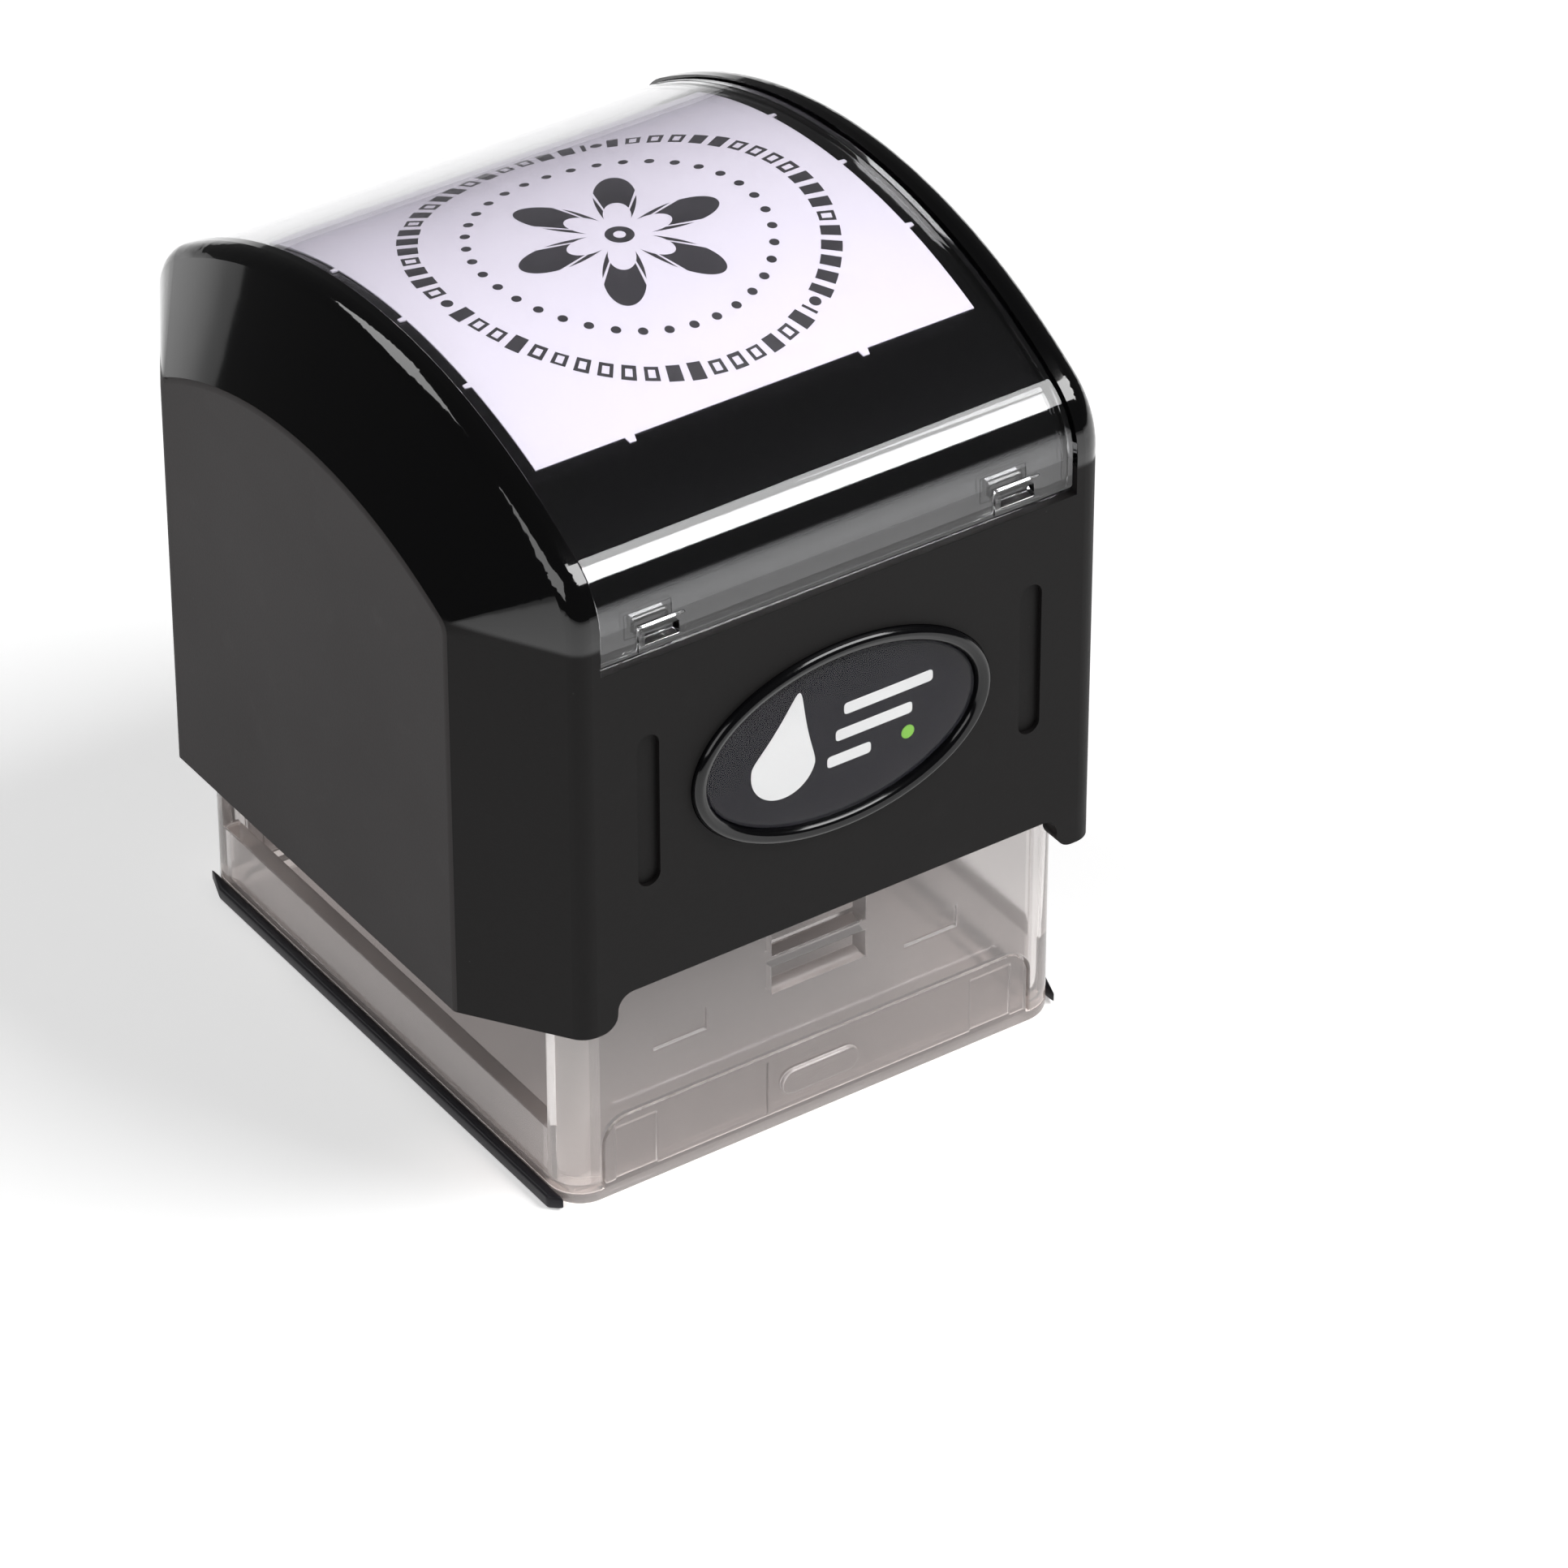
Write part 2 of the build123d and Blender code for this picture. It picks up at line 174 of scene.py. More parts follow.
# black shell: fine-grained matte walls, end panels painted lighter as painted light from the left, and polished
# shoulders and rims above a soft line
shellFinish = {
    "matteColour": (0.0072, 0.0066, 0.0066, 1), "driftColour": (0.0135, 0.0122, 0.012, 1),
    "panelPaintedLightColour": (0.0340, 0.0308, 0.0308, 1), "glossColour": (0.0012, 0.0012, 0.0014, 1),
    "dustColour": (0.08, 0.078, 0.075, 1), "driftShare": 0.25, "dustShare": 0.25,
    "glossFrom": 56.4, "glossTo": 57.0,  # heights where the matte walls turn to gloss
    "panelX": 30.45,  # the flat end panels lie beyond this
    "matteRough": 0.46, "glossRough": 0.07, "coatRough": 0.055, "specular": 0.13,
    "drift": 14, "grain": 0.22, "grainDepth": 0.018, "grainStrength": 0.35,
    "wear": 5, "dust": 1.9, "dustPatch": 7,
}


def makeBlackShell():
    s = shellFinish
    mat = Mat("blackShell")
    x, y, z = mat.axes()
    panel = abs(x) > s["panelX"]
    gloss = z.step(s["glossFrom"], s["glossTo"]) * (1 - panel)
    drift = mat.noise(s["drift"], 2)
    grain = mat.noise(s["grain"], 2, 0.6)
    worn = mat.noise(s["wear"], 4, 0.65).step(0.55, 0.8)
    dust = mat.cells(s["dust"]).step(0.05, 0.03) * mat.noise(s["dustPatch"], 2).step(0.5, 0.7)
    # painted light: the end panels get a lighter colour that stands in for the light falling on them from the
    # left
    matte = mat.blend(panel, s["matteColour"], s["panelPaintedLightColour"])
    matte = mat.blend(drift * s["driftShare"], matte, s["driftColour"])
    matte = mat.blend(dust * s["dustShare"], matte, s["dustColour"])
    colour = mat.blend(gloss, matte, s["glossColour"])
    matteRough = s["matteRough"] + drift * 0.06 + grain * 0.08 - worn * 0.05
    glossRough = s["glossRough"] + worn * 0.03
    return mat.finish({
        "Base Color": colour, "Roughness": gloss * glossRough + (1 - gloss) * matteRough, "IOR": 1.5,
        "Specular IOR Level": s["specular"], "Coat Weight": gloss, "Coat Roughness": s["coatRough"],
        "Normal": mat.bump((1 - gloss) * grain, s["grainStrength"], s["grainDepth"])})


# moulded, printed and metal finishes: two close colours that drift over a fine grain
plainFinish = {"drift": 7.2, "driftRough": 0.06, "grain": 0.25, "grainRough": 0.12, "strength": 0.3}


def makePlain(name, colour, second, rough, depth=0.015, metal=0.0, shine=0.5):
    s = plainFinish
    mat = Mat(name)
    drift = mat.noise(s["drift"], 3)
    fine = mat.noise(s["grain"], 3, 0.6)
    return mat.finish({
        "Base Color": mat.blend(drift, colour, second),
        "Roughness": rough + fine * s["grainRough"] + drift * s["driftRough"],
        "Metallic": metal, "Specular IOR Level": shine, "Normal": mat.bump(fine, s["strength"], depth)})


# clear plastics: slow flow lines under fine scuffs
clearFinish = {"scuff": 0.5, "scuffFrom": 0.62, "scuffTo": 0.85, "scuffRough": 0.06,
               "flow": 9, "flowStrength": 0.12, "flowDepth": 0.05}


def makeScuffs(mat, stretch):
    s = clearFinish
    return mat.noise(s["scuff"], 4, 0.7, stretch).step(s["scuffFrom"], s["scuffTo"])


def makeClear(name, tint, veil, rough, bend=1.49):
    s = clearFinish
    mat = Mat(name)
    scuff = makeScuffs(mat, (1, 3, 1))
    flow = mat.noise(s["flow"], 2, 0.5, (1, 0.4, 0.4))
    return mat.finishClear(veil, {
        "Base Color": tint, "Roughness": rough + scuff * s["scuffRough"], "IOR": bend,
        "Transmission Weight": 1.0, "Normal": mat.bump(flow, s["flowStrength"], s["flowDepth"])})


# stamp design: a ring of plain blocks, a ring of beads and a rosette
artSet = {
    "ring": 16.9, "count": 58,  # ring of blocks: radius and how many
    "tall": 0.95, "trim": 0.3, "wide": 0.33,  # a block's half height, what chance takes off it, its half width
    "holeTall": 0.42, "holeWide": 0.16, "holeFrom": 0.45,  # its hole, and which blocks have one
    "gaps": 3, "gapShare": 0.05, "dot": 0.5,  # gaps in the ring, each with a dot of this radius
    "beadRing": 12.3, "beads": 36, "bead": 0.42,
    "petals": 6, "petalReach": 9.4, "petalWaist": 0.34, "vein": 0.035,
    "hub": 1.7, "hubLine": 0.35,
}


def stampArt(mat, across, along):  # 1 where the design is inked, from two lengths in millimetres
    s = artSet
    radius = (across * across + along * along).root()
    turn = along.calc("ARCTAN2", across) / (2 * math.pi) + 0.5
    place = turn * s["count"]
    part = abs(place.calc("FRACT") - 0.5)
    chance = mat.node("ShaderNodeTexWhiteNoise", {"noise_dimensions": "1D"}, {"W": place.calc("FLOOR")})
    outer = (part < s["wide"]) * radius.within(s["ring"], s["tall"] - chance * s["trim"])
    hollow = (part < s["holeWide"]) * radius.within(s["ring"], s["holeTall"]) * (chance > s["holeFrom"])
    thirds = (turn * s["gaps"]).calc("FRACT")
    blocks = (outer - hollow) * (thirds > s["gapShare"])
    beside = (thirds - s["gapShare"] / 2) * (2 * math.pi * s["ring"] / s["gaps"])
    dots = ((radius - s["ring"]) ** 2 + beside ** 2).root() < s["dot"]
    leaf = abs((turn * (math.pi * s["petals"])).cosine())
    inner = leaf * (s["petalReach"] * s["petalWaist"]) + s["hub"]
    petals = (radius < leaf * s["petalReach"]) * (radius > inner)
    vein = abs((turn * (2 * s["petals"])).calc("FRACT") - 0.5) < s["vein"]
    beads = abs((turn * s["beads"]).calc("FRACT") - 0.5) * (2 * math.pi * s["beadRing"] / s["beads"])
    beadRing = (beads * beads + (radius - s["beadRing"]) ** 2).root() < s["bead"]
    hub = radius.within(s["hub"] / 2, s["hubLine"])
    return blocks.either(dots).either(petals * (1 - vein)).either(beadRing).either(hub)


# smoke-tinted clear plastic of the base and the dust cover
smokeSet = {
    "tint": (0.60, 0.565, 0.555, 1), "postPaintedLightTint": (0.90, 0.865, 0.85, 1), "veil": (0.78, 0.755, 0.745, 1),
    "flowTint": (0.70, 0.66, 0.645, 1), "flowShare": 0.25, "speckTint": (0.9, 0.88, 0.86, 1), "speckShare": 0.5,
    "postX": 21.4, "postY": 24.6, "plateZ": 1.3,  # where the posts and the bottom plate begin
    "wallRough": 0.10, "wallFlow": 0.05, "clearRough": 0.02, "scuffRough": 0.05, "scuffBump": 0.1,
    "body": 0.82, "flow": 11, "specks": 1.6, "speckPatch": 6,
}


def makeClearSmoke():  # hazy walls between clear, polished corner posts, over a bottom plate with clear ends; posts and ends also get a lighter tint, which is painted light
    s = smokeSet
    mat = Mat("clearSmoke")
    x, y, z = mat.axes()
    clear = (abs(x) > s["postX"]).either(z < s["plateZ"]) * (abs(y) > s["postY"])
    flow = mat.noise(s["flow"], 2, 0.5, (1, 1, 0.35))
    scuff = makeScuffs(mat, (1, 1, 3))
    specks = mat.cells(s["specks"]).step(0.045, 0.02) * mat.noise(s["speckPatch"], 2).step(0.5, 0.62)
    # painted light: the corner posts and plate ends get a lighter tint, which stands in for the light their
    # rounded corners gather
    tint = mat.blend(clear, s["tint"], s["postPaintedLightTint"])
    tint = mat.blend(flow.step(0.35, 0.7) * s["flowShare"], tint, s["flowTint"])
    tint = mat.blend(specks * s["speckShare"], tint, s["speckTint"])
    wall = (1 - clear) * (s["wallRough"] + flow * s["wallFlow"])
    relief = flow + scuff * s["scuffBump"]
    return mat.finishClear(s["veil"], {
        "Base Color": tint, "Roughness": clear * s["clearRough"] + wall + scuff * s["scuffRough"],
        "IOR": 1.49, "Transmission Weight": s["body"],
        "Normal": mat.bump(relief, clearFinish["flowStrength"], clearFinish["flowDepth"])})


# the housing's arch, which the window and the label follow, and the label's own sizes
arch = {"centreZ": 18.4, "radius": 53.0, "halfY": 31.4, "shoulder": 6.5, "steps": 72, "shoulderSteps": 18}
labelSet = {
    "inset": 2.0, "halfX": 20.8, "halfY": 19.4, "thick": 0.1,
    "nub": 0.55, "nubWidth": 0.9, "nubTaper": 0.35, "nubX": (-12.1, 10.0), "nubY": (-10.1, -0.7, 9.3),
    "paper": (0.53, 0.50, 0.56, 1), "shadePaper": (0.50, 0.47, 0.53, 1), "pulpColour": (0.42, 0.40, 0.45, 1),
    "ink": (0.014, 0.013, 0.016, 1), "thinInk": (0.03, 0.028, 0.032, 1),
    "pulp": 0.35, "pulpShare": 0.12, "shade": 16, "paperRough": 0.62, "inkGloss": 0.2, "pulpRough": 0.06,
}
dieFinish = {
    "gel": (0.03, 0.03, 0.04, 1), "poreColour": (0.05, 0.05, 0.062, 1), "wet": (0.008, 0.008, 0.012, 1),
    "faceZ": 18.2, "pore": 0.18, "gelRough": 0.5, "wetGloss": 0.25, "poreRough": 0.1, "poreBump": 0.15,
}


def makeLabelPaper():
    s = labelSet
    mat = Mat("labelPaper")
    x, y, z = mat.axes()
    radius = arch["radius"] - s["inset"]
    inked = stampArt(mat, x, (y / radius).calc("ARCSINE") * radius)  # measured along the paper's curve
    pulp = mat.noise(s["pulp"], 4, 0.65)
    paper = mat.blend(mat.noise(s["shade"], 2), s["paper"], s["shadePaper"])
    paper = mat.blend(pulp * s["pulpShare"], paper, s["pulpColour"])
    ink = mat.blend(pulp, s["ink"], s["thinInk"])
    return mat.finish({
        "Base Color": mat.blend(inked, paper, ink),
        "Roughness": s["paperRough"] - inked * s["inkGloss"] + pulp * s["pulpRough"],
        "Normal": mat.bump(pulp, 0.2, 0.01)})


def makeDieGel():  # the die's face carries the design as a raised, mirrored pattern
    s = dieFinish
    mat = Mat("dieGel")
    x, y, z = mat.axes()
    raised = stampArt(mat, x * -1, y) * (z < s["faceZ"])
    pores = mat.noise(s["pore"], 3, 0.6)
    gel = mat.blend(pores, s["gel"], s["poreColour"])
    return mat.finish({
        "Base Color": mat.blend(raised, gel, s["wet"]),
        "Roughness": s["gelRough"] - raised * s["wetGloss"] + pores * s["poreRough"],
        "Normal": mat.bump(raised + pores * s["poreBump"], 0.6, 0.25)})


looks = {  # the record's material slots, and the badge mark's two colours
    "black_shell": makeBlackShell(),
    "clear_smoke": makeClearSmoke(),
    "clear_window": makeClear("clearWindow", (0.97, 0.97, 0.985, 1), (0.93, 0.93, 0.94, 1), 0.008),
    "dark_rubber": makePlain("darkRubber", (0.008, 0.007, 0.010, 1), (0.013, 0.012, 0.015, 1), 0.3,
                             shine=0.25),
    "label_paper": makeLabelPaper(),
    "badge_gloss": makePlain("badgeGloss", (0.0015, 0.0015, 0.002, 1), (0.003, 0.003, 0.0035, 1), 0.03,
                             depth=0.001, shine=0.42),
    "badge_print": makePlain("badgePrint", (0.006, 0.0055, 0.009, 1), (0.009, 0.008, 0.012, 1), 0.16,
                             depth=0.001, shine=0.05),
    "badge_lens": makeClear("badgeLens", (0.98, 0.98, 0.98, 1), (0.95, 0.95, 0.95, 1), 0.006, bend=1.17),
    "zinc_steel": makePlain("zincSteel", (0.62, 0.61, 0.58, 1), (0.5, 0.5, 0.5, 1), 0.28, metal=1.0),
    "spring_steel": makePlain("springSteel", (0.55, 0.55, 0.56, 1), (0.42, 0.42, 0.43, 1), 0.25, metal=1.0),
    "grey_plastic": makePlain("greyPlastic", (0.16, 0.16, 0.17, 1), (0.19, 0.19, 0.2, 1), 0.42),
    "black_inner": makePlain("blackInner", (0.015, 0.015, 0.016, 1), (0.024, 0.024, 0.025, 1), 0.42),
    "ink_foam": makePlain("inkFoam", (0.008, 0.008, 0.016, 1), (0.016, 0.016, 0.03, 1), 0.8, depth=0.2),
    "markWhite": makePlain("markWhite", (0.72, 0.72, 0.72, 1), (0.64, 0.64, 0.65, 1), 0.35, depth=0.002),
    "markGreen": makePlain("markGreen", (0.12, 0.40, 0.02, 1), (0.24, 0.52, 0.05, 1), 0.35, depth=0.002),
    "die_gel": makeDieGel(),
}
for nodeName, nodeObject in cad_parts.items():
    for nodeSlot in nodeObject.material_slots:
        nodeSlot.material = looks[nodeSlot.material.name.split(".")[0]]
print("materials made:", len(looks))


# building pieces, in millimetres
mergeGap = 0.0005  # vertices nearer than this are one
sharpAngle = 55  # edges sharper than this, in degrees, stay hard


def onlyVerts(geom):
    return [item for item in geom if isinstance(item, bmesh.types.BMVert)]


def onlyEdges(geom):
    return [item for item in geom if isinstance(item, bmesh.types.BMEdge)]


def startRow(bm, cutsX, y, z):  # a row of edges along X
    verts = [bm.verts.new((x, y, z)) for x in cutsX]
    return [bm.edges.new(pair) for pair in zip(verts, verts[1:])]


def drawRow(bm, row, shift):  # draws the row out by shift and gives the new row
    geom = bmesh.ops.extrude_edge_only(bm, edges=row)["geom"]
    verts = onlyVerts(geom)
    bmesh.ops.translate(bm, vec=shift, verts=verts)
    fresh = set(verts)
    return [edge for edge in onlyEdges(geom) if set(edge.verts) <= fresh]


def turnRow(bm, row, centre, angle, steps, axis=(1, 0, 0), rise=0.0):  # rises by rise each step
    geom = list(dict.fromkeys(vert for edge in row for vert in edge.verts)) + row
    last = bmesh.ops.spin(bm, geom=geom, cent=centre, axis=axis, dvec=(0, 0, rise), angle=angle, steps=steps)
    return onlyEdges(last["geom_last"])


def faceOutwards(bm):  # an open arched sheet's faces look up at its top
    bmesh.ops.recalc_face_normals(bm, faces=bm.faces)
    if max(bm.faces, key=lambda face: face.calc_center_median().z).normal.z < 0:
        bmesh.ops.reverse_faces(bm, faces=bm.faces)


def bevelSharp(bm, width, segments, angle):  # rounds the edges that turn more than angle, in degrees
    limit = math.radians(angle)
    edges = [edge for edge in bm.edges if edge.is_manifold and edge.calc_face_angle() > limit]
    bmesh.ops.bevel(bm, geom=edges, offset=width, offset_type="OFFSET", segments=segments, profile=0.5,
                    affect="EDGES", material=-1, clamp_overlap=False, loop_slide=True)


# scales a piece to metres and gives it its look, its body and the nodes it stands for
def finishPiece(bm, name, body, slot, nodes=(), look=None):
    bmesh.ops.remove_doubles(bm, verts=bm.verts, dist=mergeGap)
    bmesh.ops.recalc_face_normals(bm, faces=bm.faces)
    bmesh.ops.scale(bm, vec=(mm, mm, mm), verts=bm.verts)
    for edge in bm.edges:
        edge.smooth = edge.calc_face_angle(0) < math.radians(sharpAngle)
    for face in bm.faces:
        face.smooth = True
    mesh = bpy.data.meshes.new(name)
    bm.to_mesh(mesh)
    bm.free()
    mesh.materials.append(looks[look or slot])
    piece = bpy.data.objects.new(name, mesh)
    bpy.context.scene.collection.objects.link(piece)
    even = piece.modifiers.new("evenShading", "WEIGHTED_NORMAL")
    even.keep_sharp = True
    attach(piece, body)
    if nodes:
        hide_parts(*nodes)
    return piece


# index window: a curved clear sheet with four latch frames
windowSet = {"inset": 0.3, "thick": 1.6, "half": 22.5, "foot": 54.2, "step": 54.9, "lip": 0.3, "edge": 0.1,
             "latchX": (14.7, 19.1), "latchTop": 57.3, "latchRim": 0.6, "latchProud": 0.25, "pocket": 1.0}


def archSheet(inset, cutsX, levels):  # skin over the arch, with levels listed from the foot up
    radius, corner, halfY = arch["radius"] - inset, arch["shoulder"] - inset, arch["halfY"] - inset
    side = halfY - corner
    rise = math.sqrt((radius - corner) ** 2 - side ** 2)
    lean = math.atan2(rise, side)
    spring = arch["centreZ"] + rise
    bm = bmesh.new()
    row = startRow(bm, cutsX, halfY, levels[0])
    heights = list(levels) + [spring]
    for low, high in zip(heights, heights[1:]):
        row = drawRow(bm, row, (0, 0, high - low))
    row = turnRow(bm, row, (0, side, spring), lean, arch["shoulderSteps"])
    row = turnRow(bm, row, (0, 0, arch["centreZ"]), math.pi - 2 * lean, arch["steps"])
    row = turnRow(bm, row, (0, -side, spring), lean, arch["shoulderSteps"])
    for low, high in reversed(list(zip(heights, heights[1:]))):
        row = drawRow(bm, row, (0, 0, low - high))
    return bm


def makeWindow():
    s = windowSet
    near, far = s["latchX"]
    cuts = (-s["half"], -far, -near, near, far, s["half"])
    bm = archSheet(s["inset"], cuts, (s["foot"], s["step"], s["latchTop"]))
    faceOutwards(bm)
    for vert in bm.verts:  # the foot leans in, which leaves a line along the sheet's lower edge
        if vert.co.z < s["foot"] + 0.01:
            vert.co.y -= math.copysign(s["lip"], vert.co.y)
    bmesh.ops.solidify(bm, geom=bm.faces[:], thickness=s["thick"])
    bmesh.ops.recalc_face_normals(bm, faces=bm.faces)
    latches = []
    for face in bm.faces:
        x, y, z = face.calc_center_median()
        onSkin = abs(abs(y) - (arch["halfY"] - s["inset"])) < 0.01
        if onSkin and near < abs(x) < far and s["step"] < z < s["latchTop"]:
            latches.append(face)
    for face in latches:  # each latch is a proud clear frame round a pocket
        away = face.normal.copy()
        raised = bmesh.ops.extrude_discrete_faces(bm, faces=[face])["faces"]
        bmesh.ops.translate(bm, vec=away * s["latchProud"], verts=raised[0].verts)
        bmesh.ops.inset_individual(bm, faces=raised, thickness=s["latchRim"], use_even_offset=True)
        sunk = bmesh.ops.extrude_discrete_faces(bm, faces=raised)["faces"]
        bmesh.ops.translate(bm, vec=away * -s["pocket"], verts=sunk[0].verts)
    bevelSharp(bm, s["edge"], 3, 40)
    finishPiece(bm, "clearWindow", "window", "clear_window", ["index_window"])


# printed label under the window
def makeLabel():
    s = labelSet
    half = s["nubWidth"] / 2
    cuts = sorted([-s["halfX"], s["halfX"]] + [x + side for x in s["nubX"] for side in (-half, half)])
    radius = arch["radius"] - s["inset"]
    reach = math.asin(s["halfY"] / radius)
    bm = bmesh.new()
    row = startRow(bm, cuts, s["halfY"], arch["centreZ"] + radius * math.cos(reach))
    turnRow(bm, row, (0, 0, arch["centreZ"]), 2 * reach, arch["steps"])
    ends, sides = [], []
    for edge in bm.edges:
        first, second = (vert.co for vert in edge.verts)
        middle = (first + second) / 2
        if edge.is_boundary and abs(first.x - second.x) > 0.01:
            ends += [edge for x in s["nubX"] if abs(middle.x - x) < 0.01]
        elif edge.is_boundary:
            sides += [edge for y in s["nubY"] if abs(middle.y - y) < 0.3]
    for edge in ends + sides:  # torn nubs where the sheet was held in its card
        middle = (edge.verts[0].co + edge.verts[1].co) / 2
        if edge in ends:
            slope = -abs(middle.y) / math.sqrt(radius ** 2 - middle.y ** 2)
            away = Vector((0, math.copysign(1, middle.y), slope))
        else:
            away = Vector((math.copysign(1, middle.x), 0, 0))
        verts = onlyVerts(bmesh.ops.extrude_edge_only(bm, edges=[edge])["geom"])
        bmesh.ops.translate(bm, vec=away * s["nub"], verts=verts)
        for vert in verts:
            vert.co += (middle + away * s["nub"] - vert.co) * s["nubTaper"]
    faceOutwards(bm)
    bmesh.ops.solidify(bm, geom=bm.faces[:], thickness=s["thick"])
    finishPiece(bm, "printedLabel", "housing", "label_paper", ["index_label"])


# oval badge
badgeSet = {
    "z": 39.8, "halfWidth": 14.35, "halfHeight": 8.95, "front": -32.1, "floor": -30.6, "steps": 96,
    "ring": 1.3, "outerRound": 0.62, "innerRound": 0.55, "innerDrop": 0.07, "roundSteps": 6,
    "disc": 0.6, "discEdge": 0.08, "gap": 0.06,
    "dome": 0.84, "domeLift": 0.05, "domePower": 0.8, "domeSteps": 14,
}


def quarter(steps, last=1):  # angles from 0 to 90 degrees, the last one left out where last is 0
    return [math.pi / 2 * k / steps for k in range(steps + last)]


def ovalSpin(profile, narrow):  # spins (radius, y) points about Y, then narrows the rings by the given rule
    bm = bmesh.new()
    verts = [bm.verts.new((r, y, 0)) for r, y in profile]
    row = [bm.edges.new(pair) for pair in zip(verts, verts[1:])]
    bmesh.ops.spin(bm, geom=verts + row, cent=(0, 0, 0), axis=(0, 1, 0), angle=2 * math.pi,
                   steps=badgeSet["steps"], use_merge=True)
    for vert in bm.verts:
        r = math.hypot(vert.co.x, vert.co.z)
        vert.co.z *= narrow(r) if r > 0.001 else 1
    bmesh.ops.translate(bm, vec=(0, 0, badgeSet["z"]), verts=bm.verts)
    return bm


def makeBadge():
    s = badgeSet
    outer, floor, swell = s["halfWidth"], s["floor"], s["outerRound"]
    offset = outer - s["halfHeight"]
    inner = outer - s["ring"]
    top = s["front"] + swell
    profile = [(outer, floor)]
    for t in quarter(s["roundSteps"]):
        profile.append((outer - swell + swell * math.cos(t), top - swell * math.sin(t)))
    for t in quarter(s["roundSteps"]):
        across = inner + s["innerRound"] - s["innerRound"] * math.sin(t)
        profile.append((across, top + s["innerDrop"] - swell * math.cos(t)))
    profile += [(inner, floor), (outer, floor)]
    bm = ovalSpin(profile, lambda r: (r - offset) / r)
    finishPiece(bm, "badgeRing", "housing", "badge_gloss", ["badge_bezel"])

    face = floor - s["disc"]
    edge = inner - s["gap"]
    bevel = s["discEdge"]
    squeeze = (inner - offset) / inner
    profile = [(0, floor), (edge, floor), (edge, face + bevel), (edge - bevel, face), (0, face)]
    bm = ovalSpin(profile, lambda r: squeeze)
    finishPiece(bm, "badgeDisc", "housing", "badge_print", ["badge_disc"])

    lift = face - s["domeLift"]
    profile = [(edge * math.sin(t), lift - s["dome"] * math.cos(t) ** s["domePower"])
               for t in quarter(s["domeSteps"], last=0)]
    profile += [(edge, lift), (0, lift)]
    bm = ovalSpin(profile, lambda r: squeeze)
    finishPiece(bm, "badgeDome", "housing", "badge_lens", ["badge_dome"])


# badge mark: an ink drop beside three lines and a dot, a made-up sign
markSet = {
    "dropCentre": (-5.6, -0.9), "dropRadius": 3.1, "dropTip": 6.6, "dropDraw": 2.6, "dropThin": (0.62, 1.5),
    "tilt": -14,
    "lines": ((2.3, 8.6), (0.0, 7.4), (-2.3, 4.2)),  # (height, length)
    "lineX": -0.6, "lineSlant": 0.35, "lineHeight": 1.05, "lineRound": 0.3,
    "dot": (6.4, -2.3, 0.62),  # (x, height, radius)
    "lift": 0.01, "thick": 0.03,
}


def flatShape(bm, verts, centre):  # stands a shape drawn in X and Y up on the badge disc
    face = badgeSet["floor"] - badgeSet["disc"]
    bmesh.ops.rotate(bm, cent=(0, 0, 0), matrix=Matrix.Rotation(math.pi / 2, 3, "X"), verts=verts)
    bmesh.ops.translate(bm, vec=(centre[0], face - markSet["lift"], badgeSet["z"] + centre[1]), verts=verts)


def finishMark(bm, name, look):
    thick = onlyVerts(bmesh.ops.extrude_face_region(bm, geom=bm.faces[:])["geom"])
    bmesh.ops.translate(bm, vec=(0, -markSet["thick"], 0), verts=thick)
    finishPiece(bm, name, "housing", "badge_print", look=look)


def makeMark():
    s = markSet
    bm = bmesh.new()
    drop = bmesh.ops.create_circle(bm, cap_ends=True, radius=s["dropRadius"], segments=48)["verts"]
    for vert in drop:  # the upper half is drawn up to a point
        if vert.co.y > 0:
            share = vert.co.y / s["dropRadius"]
            vert.co.y += (s["dropTip"] - s["dropRadius"]) * share ** s["dropDraw"]
            vert.co.x *= 1 - s["dropThin"][0] * share ** s["dropThin"][1]
    bmesh.ops.rotate(bm, cent=(0, 0, 0), matrix=Matrix.Rotation(math.radians(s["tilt"]), 3, "Z"), verts=drop)
    flatShape(bm, drop, s["dropCentre"])
    for height, length in s["lines"]:
        bar = bmesh.ops.create_grid(bm, x_segments=1, y_segments=1, size=0.5)["verts"]
        bmesh.ops.scale(bm, vec=(length, s["lineHeight"], 1), verts=bar)
        corners = bmesh.ops.bevel(bm, geom=bar, offset=s["lineHeight"] * s["lineRound"], offset_type="OFFSET",
                                  segments=5, profile=0.5, affect="VERTICES", material=-1)["verts"]
        shape = list(dict.fromkeys(corners + [vert for vert in bar if vert.is_valid]))
        flatShape(bm, shape, (s["lineX"] + length / 2 + height * s["lineSlant"], height))
    finishMark(bm, "badgeMark", "markWhite")
    bm = bmesh.new()
    x, height, radius = s["dot"]
    dot = bmesh.ops.create_circle(bm, cap_ends=True, radius=radius, segments=32)["verts"]
    flatShape(bm, dot, (x, height))
    finishMark(bm, "badgeDot", "markGreen")


# return springs
springSet = {"x": 15.0, "y": 23.9, "foot": 24.0, "top": 58.0, "radius": 1.85, "wire": 0.25, "wireSides": 10,
             "turns": 8, "closed": 1.5, "closedGap": 1.04, "perTurn": 28, "stroke": 16.5}


def coilLift(bm, row, turns, rise):
    steps = int(springSet["perTurn"] * turns)
    return turnRow(bm, row, (0, 0, 0), 2 * math.pi * turns, steps, axis=(0, 0, 1), rise=rise / steps)


